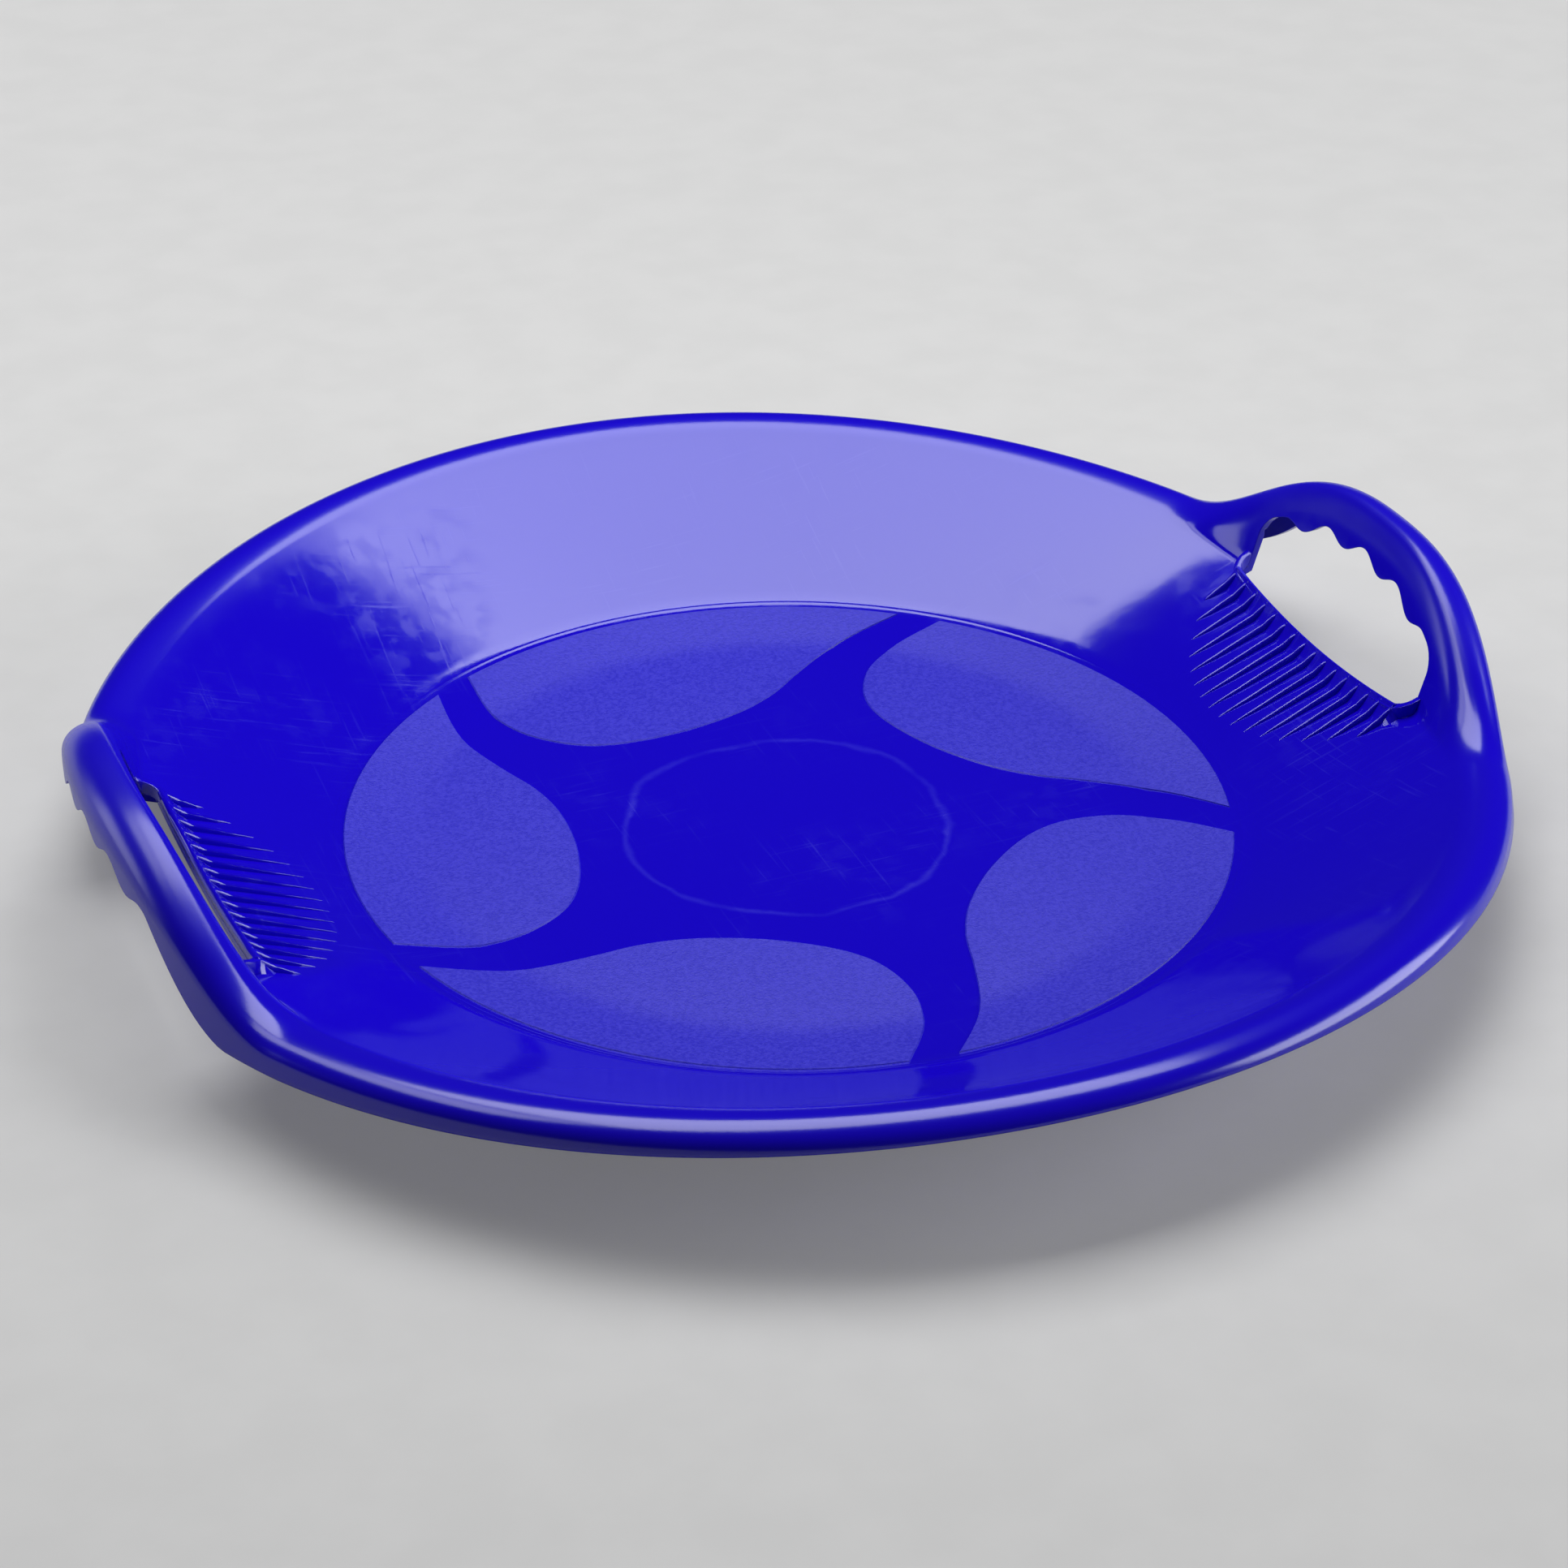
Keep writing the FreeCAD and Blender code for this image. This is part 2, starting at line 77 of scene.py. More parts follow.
RIB_HEIGHT = 0.0029
# Sizes of the rolled edge: on the rim, and at the middle of a grip
ROLL_REACH = (RIM_RADIUS, GRIP_REACH)
ROLL_WIDTH = (0.011, 0.0155)
ROLL_DEPTH = (0.0064, 0.0145)
SKIRT_LEAN = (0.0022, 0.0004)
LEAD = (0.0055, 0.0045)
LEAD_DROP = (0.0055, 0.020)
LEAN = (0.008, 0.012)

# Pads: each side has shares of the length from the tip, and degrees from the pad's axis
PAD_COUNT = 5
PAD_START_ANGLE = math.radians(96.1)
PAD_LENGTH = 0.0917
PAD_OUTER = DISC_RADIUS - 0.003
PAD_HEIGHT = 0.00045
PAD_LEADING_SIDE = ((0, 0), (0.073, 16.8), (0.215, 24.8), (0.455, 27.8), (0.706, 26.1), (1, 21))
PAD_TRAILING_SIDE = ((0, 0), (0.073, -16.8), (0.215, -25.7), (0.433, -31.6), (0.706, -37.4), (1, -45))

# Finer form than the part's source has: the bead round the disc, the pads' soft edges,
# and the lips' hollow faces with round-backed ribs
BEAD_HALF_WIDTH = 0.001
BEAD_HEIGHT = 0.0003
BEAD_SQUARENESS = 0.9
PAD_EDGE_MARGINS = (0, 0.0006, 0.0011)
SEAT_BEND_WIDTH = 0.003
SINK = 0.0002
RIB_HALF_WIDTH = 0.0012
RIB_FLATNESS = 0.6
RIB_FULLNESS = 0.65
RIB_FADE = 0.0048
RIB_TIP_SHARE = 0.25
RIB_WIDENING = 2
LIP_CREST = LIP_OUTER - 0.0016
LIP_CREST_LIFT = 0.0012
LIP_LIFT_POWER = 4
LIP_FOOT = LIP_CREST - 0.0075
LIP_EDGE = 0.0006
LIP_HOLLOW = 2.0
LIP_OVERLAP = 0.0002

ROOT_ANGLE = math.asin(HANDLE_SPAN / 2 / RIM_RADIUS)
DISC_HEIGHT = SHELL + SEAT_RISE
WALL_RUN = RIM_RADIUS - ROLL_WIDTH[0] - LEAD[0] - DISC_RADIUS
WALL_CURVE = (RIM_TOP - DISC_HEIGHT - WALL_START_SLOPE * WALL_RUN) / WALL_RUN**2
HALF_OPENING = OPENING_WIDTH / 2
QUARTER_ROUND = 4 / 3 * (math.sqrt(2) - 1)
TURN_STEPS = 480

# Limits for one point, a flat join and a sharp edge, and half the width of a plain grid
SAME_POINT = 1e-6
SAME_CAD_POINT = 2e-5
FLAT_JOIN = 0.01
CREASE = 0.5
SHARP_ANGLE = math.radians(40)
HALF_GRID = 0.5


def bow(radius, angle):
    """How far the bowl is bowed up at a plan radius and an angle from the handle axis."""
    share = min(max((radius - DISC_RADIUS) / WALL_RUN, 0.0), 1.0)
    return -RIM_BOW * share**BOW_POWER * math.cos(2 * angle)


def wall_height(radius, angle):
    """Height of the bowl wall's upper face."""
    run = radius - DISC_RADIUS
    return DISC_HEIGHT + WALL_START_SLOPE * run + WALL_CURVE * run**2 + bow(radius, angle)


def skirt_height(angle):
    """Height of the rim's lower edge outside."""
    return SKIRT_HEIGHT - SKIRT_BOW * math.cos(2 * angle)


def straight(start, end, steps):
    """Points on a straight run, without its first point."""
    return [start.lerp(end, step / steps) for step in range(1, steps + 1)]


def rounded(start, corner, end, steps):
    """Points on a round that touches both sides of a corner, without its first point."""
    first = start.lerp(corner, QUARTER_ROUND)
    second = end.lerp(corner, QUARTER_ROUND)
    points = []
    for step in range(1, steps + 1):
        t = step / steps
        s = 1 - t
        points.append(start * s**3 + first * (3 * s * s * t) + second * (3 * s * t * t) + end * t**3)
    return points


def below(direction):
    """Step through the edge's thickness, at right angles to a direction in the radial plane."""
    return Vector((direction.y, -direction.x)) * EDGE


def seat_profile(angle):
    """Upper points of the seat, the bead at its edge and the start of the wall."""
    flat_edge = Vector((FLAT_RADIUS, SHELL))
    disc_edge = Vector((DISC_RADIUS, DISC_HEIGHT))
    share = BEAD_HALF_WIDTH / (DISC_RADIUS - FLAT_RADIUS)
    before = disc_edge.lerp(flat_edge, share)
    after_radius = DISC_RADIUS + BEAD_HALF_WIDTH
    after = Vector((after_radius, wall_height(after_radius, angle)))
    peak = disc_edge + Vector((0, BEAD_HEIGHT))
    points = [Vector((0, SHELL))]
    points += straight(points[0], flat_edge, steps=6)
    points += straight(flat_edge, before, steps=5)
    points += rounded(before, before.lerp(peak, BEAD_SQUARENESS), peak, steps=3)
    points += rounded(peak, after.lerp(peak, BEAD_SQUARENESS), after, steps=3)
    return points


def shell_profile(angle):
    """Profile of the moulding in the radial plane at one angle, from the middle of the seat over the
    rolled edge and back below to the middle. A point holds its radius and its height."""
    off_axis = (angle + math.pi / 2) % math.pi - math.pi / 2
    along = min(abs(off_axis) / ROOT_ANGLE, 1.0)
    lift = (1 - along**ARCH_FULLNESS)**ARCH_EASE
    spread = 1 - along**GRIP_TAPER

    def blend(pair):
        return pair[0] + (pair[1] - pair[0]) * spread

    top = RIM_TOP + bow(RIM_RADIUS, angle) + HANDLE_RISE * lift
    outer = blend(ROLL_REACH)
    crest_radius = outer - blend(ROLL_WIDTH)
    inner = crest_radius - blend(LEAD)
    corner_radius = inner - blend(LEAN)
    wall_end = corner_radius - EDGE_FILLET

    corner = Vector((corner_radius, wall_height(corner_radius, angle)))
    climb = wall_height(corner_radius + EDGE, angle) - wall_height(corner_radius - EDGE, angle)
    along_wall = Vector((2 * EDGE, climb)).normalized()
    inner_top = Vector((inner, top))
    along_leg = (inner_top - corner).normalized()
    leg_end = inner_top - along_leg * blend(LEAD_DROP)
    crest = Vector((crest_radius, top))
    outer_top = Vector((outer - blend(SKIRT_LEAN), top))
    skirt_end = Vector((outer, skirt_height(angle)))
    along_skirt = (skirt_end - outer_top).normalized()
    skirt_start = outer_top + along_skirt * blend(ROLL_DEPTH)
    inset = below(along_skirt)
    sunk = Vector((0, -EDGE))
    half_turn = (math.atan2(along_leg.y, along_leg.x) - math.atan2(along_wall.y, along_wall.x)) / 2
    leg_foot = corner + below(along_wall) + along_wall * (EDGE * math.tan(half_turn))
    rounding = along_skirt * (EDGE / 2)

    points = seat_profile(angle)
    wall_start = points[-1].x
    wall = []
    wall_steps = 14
    for step in range(wall_steps + 1):
        radius = wall_start + (wall_end - wall_start) * step / wall_steps
        wall.append(Vector((radius, wall_height(radius, angle))))
    points += wall[1:]
    points += rounded(wall[-1], corner, corner + along_leg * EDGE_FILLET, steps=4)
    points += straight(points[-1], leg_end, steps=4)
    points += rounded(leg_end, inner_top, crest, steps=8)
    points += rounded(crest, outer_top, skirt_start, steps=12)
    points += straight(skirt_start, skirt_end - rounding, steps=4)
    points += rounded(skirt_end - rounding, skirt_end, skirt_end + inset / 2, steps=3)
    points += rounded(skirt_end + inset / 2, skirt_end + inset, skirt_end + inset - rounding, steps=3)
    points += straight(points[-1], skirt_start + inset, steps=3)
    points += rounded(skirt_start + inset, outer_top + inset + sunk, crest + sunk, steps=8)
    points += straight(crest + sunk, leg_end + below(along_leg), steps=4)
    points += straight(leg_end + below(along_leg), leg_foot, steps=3)
    points += [point + Vector((0, -SHELL)) for point in reversed(wall)]
    points += straight(points[-1], Vector((DISC_RADIUS, SEAT_RISE)), steps=1)
    points += straight(points[-1], Vector((FLAT_RADIUS, 0)), steps=3)
    points += straight(points[-1], Vector((0, 0)), steps=4)
    return points


def piece_from(name, bm):
    """Blender object of a finished bmesh, smooth all over."""
    for face in bm.faces:
        face.smooth = True
    mesh = bpy.data.meshes.new(name)
    bm.to_mesh(mesh)
    bm.free()
    piece = bpy.data.objects.new(name, mesh)
    bpy.context.collection.objects.link(piece)
    return piece


def opening_edge(side):
    """Height of a window's upper edge: a shallow arch with finger ridges hanging from it."""
    arch = OPENING_TOP - OPENING_ARCH + math.sqrt(OPENING_ARCH**2 - side**2)
    if abs(side) > RIDGE_COUNT / 2 * RIDGE_PITCH:
        return arch
    return arch - RIDGE_DEPTH * (0.5 - 0.5 * math.cos(2 * math.pi * side / RIDGE_PITCH))


def outer_edge(side):
    """Height of the lower edge of a handle's outer leg."""
    flare = FLARE_HEIGHT * (1 - (side / (FLARE_SPAN / 2))**2)**FLARE_EASE
    return min(opening_edge(side), skirt_height(math.asin(side / RIM_RADIUS)) + flare)


def edge_points(edge, reach, steps):
    """Points along an edge from one side of a handle to the other."""
    sides = [reach * (2 * step / steps - 1) for step in range(steps + 1)]
    return [Vector((side, edge(side))) for side in sides]


def window_outline():
    """Outline of the opening in a handle's inner leg."""
    half_top = HALF_OPENING - OPENING_CORNER
    outline = edge_points(opening_edge, half_top, steps=96)
    drop = OPENING_CORNER * half_top / math.sqrt(OPENING_ARCH**2 - half_top**2)
    corner = Vector((HALF_OPENING, outline[-1].y - drop))
    down = Vector((0, -OPENING_CORNER))
    outline += rounded(outline[-1], corner, corner + down, steps=6)
    outline += [Vector((HALF_OPENING, -SHELL)), Vector((-HALF_OPENING, -SHELL))]
    corner.x = -corner.x
    outline += [corner + down] + rounded(corner + down, corner, outline[0], steps=6)[:-1]
    return outline


def flare_outline():
    """Outline of the opening in a handle's outer leg, which eases down to the rim's skirt."""
    half_flare = FLARE_SPAN / 2
    outline = edge_points(outer_edge, half_flare, steps=160)
    return outline + [Vector((half_flare, -SHELL)), Vector((-half_flare, -SHELL))]


def cutter_piece(outline, start, end):
    """Prism of an outline in the Y and Z directions between two places along X."""
    bm = bmesh.new()
    corners = [bm.verts.new((start, point.x, point.y)) for point in outline]
    face = bm.faces.new(corners)
    grown = bmesh.ops.extrude_face_region(bm, geom=[face])
    moved = [item for item in grown["geom"] if isinstance(item, bmesh.types.BMVert)]
    bmesh.ops.translate(bm, verts=moved, vec=(end - start, 0, 0))
    bmesh.ops.recalc_face_normals(bm, faces=bm.faces)
    return piece_from("opening_cutter", bm)


def cut_away(piece, cutter):
    """Takes a cutter's solid out of a piece."""
    modifier = piece.modifiers.new("opening", "BOOLEAN")
    modifier.operation = "DIFFERENCE"
    modifier.solver = "EXACT"
    modifier.object = cutter
    graph = bpy.context.evaluated_depsgraph_get()
    cut_mesh = bpy.data.meshes.new_from_object(piece.evaluated_get(graph))
    piece.modifiers.clear()
    piece.data = cut_mesh
    bpy.data.objects.remove(cutter)


def sled_shell():
    """The whole moulding without its pads, lips and ribs, as one seamless shell."""
    bm = bmesh.new()
    place = bm.verts.layers.int.new("place")
    last = None
    for index, point in enumerate(shell_profile(0)):
        vert = bm.verts.new((point.x, 0, point.y))
        vert[place] = index
        if last:
            bm.edges.new((last, vert))
        last = vert
    bmesh.ops.spin(
        bm, geom=bm.verts[:] + bm.edges[:], cent=(0, 0, 0), axis=(0, 0, 1),
        angle=2 * math.pi, steps=TURN_STEPS, use_merge=True,
    )
    profiles = {}
    for vert in bm.verts:
        if math.hypot(vert.co.x, vert.co.y) < SHELL:
            continue
        step = round(math.atan2(vert.co.y, vert.co.x) / (2 * math.pi) * TURN_STEPS)
        if step not in profiles:
            profiles[step] = shell_profile(2 * math.pi * step / TURN_STEPS)
        angle = 2 * math.pi * step / TURN_STEPS
        point = profiles[step][vert[place]]
        vert.co = (point.x * math.cos(angle), point.x * math.sin(angle), point.y)
    bmesh.ops.remove_doubles(bm, verts=bm.verts, dist=SAME_POINT)
    bmesh.ops.recalc_face_normals(bm, faces=bm.faces)
    shell = piece_from("sled_shell", bm)
    inner_leg = (LIP_OUTER, GRIP_REACH - ROLL_WIDTH[1])
    outer_leg = (RIM_RADIUS * math.cos(ROOT_ANGLE), 2 * RIM_RADIUS)
    for outline, (start, end) in ((window_outline(), inner_leg), (flare_outline(), outer_leg)):
        cut_away(shell, cutter_piece(outline, start, end))
        cut_away(shell, cutter_piece(outline, -end, -start))
    return shell


def softened(node_name, width):
    """Copy of a CAD node with its sharp edges slightly rounded."""
    bm = bmesh.new()
    bm.from_mesh(nodes[node_name].data)
    bmesh.ops.remove_doubles(bm, verts=bm.verts, dist=SAME_CAD_POINT)
    bmesh.ops.dissolve_limit(bm, angle_limit=FLAT_JOIN, verts=bm.verts, edges=bm.edges)
    joins = [edge for edge in bm.edges if len(edge.link_faces) == 2]
    sharp = [edge for edge in joins if edge.calc_face_angle() > CREASE]
    bmesh.ops.bevel(
        bm, geom=sharp, offset=width, offset_type="OFFSET", affect="EDGES", segments=2,
        profile=0.5, material=-1, clamp_overlap=True,
    )
    piece = piece_from(node_name + "_moulded", bm)
    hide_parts(node_name)
    return piece


def plain_grid(columns, rows):
    """Flat grid of faces, and its vertices with the column and row of each."""
    bm = bmesh.new()
    bmesh.ops.create_grid(bm, x_segments=columns, y_segments=rows, size=HALF_GRID)
    places = []
    for vert in bm.verts:
        column = round((vert.co.x + HALF_GRID) * columns)
        row = round((vert.co.y + HALF_GRID) * rows)
        places.append((vert, column, row))
    return bm, places


def curve_at(points, place):
    """Value at a place on a smooth curve through points that hold a place and a value."""
    last = len(points) - 1
    slopes = []
    for index in range(last + 1):
        before = points[max(index - 1, 0)]
        after = points[min(index + 1, last)]
        slopes.append((after[1] - before[1]) / (after[0] - before[0]))
    index = 0
    while index < last - 1 and place > points[index + 1][0]:
        index += 1
    start, low = points[index]
    end, high = points[index + 1]
    run = end - start
    t = (place - start) / run
    s = 1 - t
    level = low * (1 + 2 * t) * s**2 + high * (3 - 2 * t) * t**2
    return level + run * t * s * (slopes[index] * s - slopes[index + 1] * t)


def pad_top(radius):
    """Height of a pad's upper face, which follows the seat with a soft bend."""
    beyond = radius - FLAT_RADIUS
    slope = SEAT_RISE / (DISC_RADIUS - FLAT_RADIUS)
    return SHELL + PAD_HEIGHT + slope * (beyond + math.hypot(beyond, SEAT_BEND_WIDTH)) / 2


def seat_pad(number):
    """A pad's upper face: a grid between its curved sides, let down into the seat round its edge."""
    axis = PAD_START_ANGLE - 2 * math.pi / PAD_COUNT * (number - 1)
    sides = []
    for side in (PAD_LEADING_SIDE, PAD_TRAILING_SIDE):
        sides.append([(math.sqrt(share), math.radians(turn)) for share, turn in side])
    columns, rows = 28, 36
    edge_steps = len(PAD_EDGE_MARGINS) - 1
    bm, places = plain_grid(columns, rows)
    for vert, column, row in places:
        level = min(column, columns - column, row, rows - row, edge_steps)
        margin = PAD_EDGE_MARGINS[level]
        across = min(max((column - edge_steps) / (columns - 2 * edge_steps), 0), 1)
        outwards = min(max((row - edge_steps) / (rows - 2 * edge_steps), 0), 1)
        radius = PAD_OUTER - margin - (PAD_LENGTH - 2 * margin) * (1 - outwards**2)
        leading, trailing = [curve_at(side, outwards) for side in sides]
        inset = min(margin / radius, (leading - trailing) / 2)
        turn = axis + (leading - inset) * (1 - across) + (trailing + inset) * across
        height = pad_top(radius)
        if level == 0:
            height -= PAD_HEIGHT + SINK
        vert.co = (radius * math.cos(turn), radius * math.sin(turn), height)
    bmesh.ops.remove_doubles(bm, verts=bm.verts, dist=SAME_POINT)
    piece = piece_from(f"pad_{number}", bm)
    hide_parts(f"seat_pad_{number}")
    return piece


def wall_at(reach, side):
    """Height of the bowl wall at a distance along the handle axis and one to its side."""
    return wall_height(math.hypot(reach, side), math.atan2(side, reach))


def lip_height(reach, side):
    """Height of a lip above the wall: a hollow face up to the crest, and a round back outside."""
    share = abs(side) / HALF_OPENING
    rise = LIP_RISE + LIP_END_RISE * share**2
    lift = LIP_CREST_LIFT * max(1 - share**LIP_LIFT_POWER, 0)
    peak = wall_at(LIP_OUTER, side) + rise + lift - wall_at(LIP_CREST, side)
    if reach < LIP_CREST:
        return peak * (max(reach - LIP_FOOT, 0) / (LIP_CREST - LIP_FOOT))**LIP_HOLLOW
    beyond = (reach - LIP_CREST) / (LIP_OUTER - LIP_CREST)
    return peak + (rise - peak) * beyond**2


def rib_height(reach, tip):
    """Height of a rib's back above the wall or the lip's face, from its tip to just below the crest."""
    share = (reach - tip) / (LIP_FOOT - tip)
    fade = min(max((reach - LIP_CREST + LIP_EDGE + RIB_FADE) / RIB_FADE, 0), 1)
    return RIB_HEIGHT * min(share, 1)**RIB_FULLNESS * (1 - fade**2)


def ribbed_lip(side_name, turn):
    """Hollow face of one lip with all its ribs; the left one is the right one turned half round."""
    pitch = OPENING_WIDTH / RIB_COUNT
    round_steps = 8
    rib_columns = round_steps + 2
    columns = RIB_COUNT * rib_columns
    wall_rows, face_rows, back_rows = 16, 14, 5
    rows = wall_rows + face_rows + back_rows
    bm, places = plain_grid(columns, rows)
    for vert, column, row in places:
        rib, step = divmod(column, rib_columns)
        middle = pitch * (rib - (RIB_COUNT - 1) / 2)
        tip = DISC_RADIUS + RIB_TIP_GAP + RIB_END_SETBACK * (abs(middle) / HALF_OPENING)**RIB_SETBACK_POWER
        if row <= wall_rows:
            reach = tip + (LIP_FOOT - tip) * row / wall_rows
        elif row <= wall_rows + face_rows:
            reach = LIP_FOOT + (LIP_CREST - LIP_FOOT) * (row - wall_rows) / face_rows
        else:
            share = (row - wall_rows - face_rows) / back_rows
            reach = LIP_CREST + (LIP_OUTER + LIP_OVERLAP - LIP_CREST) * share
        side = middle - pitch / 2
        back = 0
        if step > 0:
            half_turn = math.pi * ((step - 1) / round_steps - 0.5)
            widening = min(RIB_TIP_SHARE + RIB_WIDENING * row / wall_rows, 1)
            side = middle + RIB_HALF_WIDTH * widening * math.sin(half_turn)
            back = rib_height(reach, tip) * max(math.cos(half_turn), 0)**RIB_FLATNESS
        height = wall_at(reach, side) - SINK
        if 0 < column < columns:
            height += lip_height(reach, side) + back
        vert.co = (turn * reach, turn * side, height)
    bmesh.ops.reverse_faces(bm, faces=bm.faces)
    piece = piece_from(f"ribs_{side_name}", bm)
    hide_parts(f"lip_ribs_{side_name}")
    return piece


# Finish: colours, gloss, and lengths in metres
BLUE = (0.0075, 0.0008, 0.54)
SCUFFED_BLUE = (0.016, 0.009, 0.57)
PAD_BLUE = (0.008, 0.004, 0.50)
PALE_PAD_BLUE = (0.017, 0.011, 0.58)
FLOOR_GREY = (0.45, 0.45, 0.45)
PALE_FLOOR_GREY = (0.47, 0.47, 0.47)
PLASTIC_IOR = 1.6
PLASTIC_SHINE = 0.45
EDGE_SAMPLES = 4
SHELL_EDGE_RADIUS = 0.0007
FINE_EDGE_RADIUS = 0.0001
SATIN_RIM_RADII = (0.250, 0.268)
SATIN_GRIP_HEIGHTS = (0.056, 0.070)
FLOW_RING_RADIUS = 0.066
FLOW_RING_WAVER = 0.018
FLOW_RING_FADE = 0.0024
WAVE_DEPTH = 0.00012
RIPPLE_DEPTH = 0.000025
RIM_GRAIN_DEPTH = 0.000015
SCUFF_DEPTH = 0.000006
SCUFF_SHARE = 0.6
PAD_GRAIN_DEPTH = 0.00012
# Roughness of the polished bowl, and what the other places and marks add to it
BOWL_ROUGHNESS = 0.065
RIM_ROUGHNESS = 0.11
GRIP_ROUGHNESS = 0.09
SMUDGE_ROUGHNESS = 0.04
SPECK_ROUGHNESS = 0.09
MARK_ROUGHNESS = 0.14
# Roughness of the pads, what their mottling adds to it, and the floor's
PAD_ROUGHNESS = 0.42
MOTTLE_ROUGHNESS = 0.08
FLOOR_ROUGHNESS = 0.8


class Finish:
    """Material whose shader nodes are added one by one."""

    def __init__(self, name):
        self.material = bpy.data.materials.new(name)
        self.material.use_nodes = True
        self.tree = self.material.node_tree
        self.shader = self.tree.nodes["Principled BSDF"]
        self.shader.inputs["IOR"].default_value = PLASTIC_IOR
        self.place = self.tree.nodes.new("ShaderNodeTexCoord").outputs["Object"]

    def feed(self, socket, value):
        """Links a socket to another, or sets its value."""
        if isinstance(value, bpy.types.NodeSocket):
            self.tree.links.new(value, socket)
        else:
            socket.default_value = value

    def math(self, operation, *values):
        """Result of a sum on numbers or sockets."""
        node = self.tree.nodes.new("ShaderNodeMath")
        node.operation = operation
        for socket, value in zip(node.inputs, values):
            self.feed(socket, value)
        return node.outputs[0]

    def ramp(self, value, start, end, low=0.0, high=1.0):
        """Smooth change from a low value to a high one while the input goes from start to end."""
        node = self.tree.nodes.new("ShaderNodeMapRange")
        node.interpolation_type = "SMOOTHSTEP"
        names = ("Value", "From Min", "From Max", "To Min", "To Max")
        for name, number in zip(names, (value, start, end, low, high)):
            self.feed(node.inputs[name], number)
        return node.outputs["Result"]

    def noise(self, scale, detail=2.0, stretch=(1, 1, 1), turn=0.0):
        """Noise over the object, which may be stretched along a turned axis."""
        mapping = self.tree.nodes.new("ShaderNodeMapping")
        self.feed(mapping.inputs["Vector"], self.place)
        mapping.inputs["Scale"].default_value = stretch
        mapping.inputs["Rotation"].default_value = (0, 0, turn)
        node = self.tree.nodes.new("ShaderNodeTexNoise")
        self.feed(node.inputs["Vector"], mapping.outputs["Vector"])
        node.inputs["Scale"].default_value = scale
        node.inputs["Detail"].default_value = detail
        return node.outputs["Fac"]

    def plan_radius(self):
        """Distance from the upright axis through the middle of the seat."""
        flat = self.tree.nodes.new("ShaderNodeVectorMath")
        flat.operation = "MULTIPLY"
        self.feed(flat.inputs[0], self.place)
        flat.inputs[1].default_value = (1, 1, 0)
        length = self.tree.nodes.new("ShaderNodeVectorMath")
        length.operation = "LENGTH"
        self.feed(length.inputs[0], flat.outputs["Vector"])
        return length.outputs["Value"]

    def height(self):
        """Height above the ground."""
        node = self.tree.nodes.new("ShaderNodeSeparateXYZ")
        self.feed(node.inputs["Vector"], self.place)
        return node.outputs["Z"]

    def colours(self, share, first, second):
        """Base colour that changes from the first to the second."""
        node = self.tree.nodes.new("ShaderNodeValToRGB")
        node.color_ramp.elements[0].color = (*first, 1)
        node.color_ramp.elements[1].color = (*second, 1)
        self.feed(node.inputs["Fac"], share)
        self.feed(self.shader.inputs["Base Color"], node.outputs["Color"])

    def bump(self, edge_radius, *layers):
        """Fine relief from heights and their depths in metres, on softly rounded edges."""
        edge = self.tree.nodes.new("ShaderNodeBevel")
        edge.samples = EDGE_SAMPLES
        edge.inputs["Radius"].default_value = edge_radius
        normal = edge.outputs["Normal"]
        for height, depth in layers:
            node = self.tree.nodes.new("ShaderNodeBump")
            node.inputs["Distance"].default_value = depth
            self.feed(node.inputs["Height"], height)
            self.feed(node.inputs["Normal"], normal)
            normal = node.outputs["Normal"]
        self.feed(self.shader.inputs["Normal"], normal)


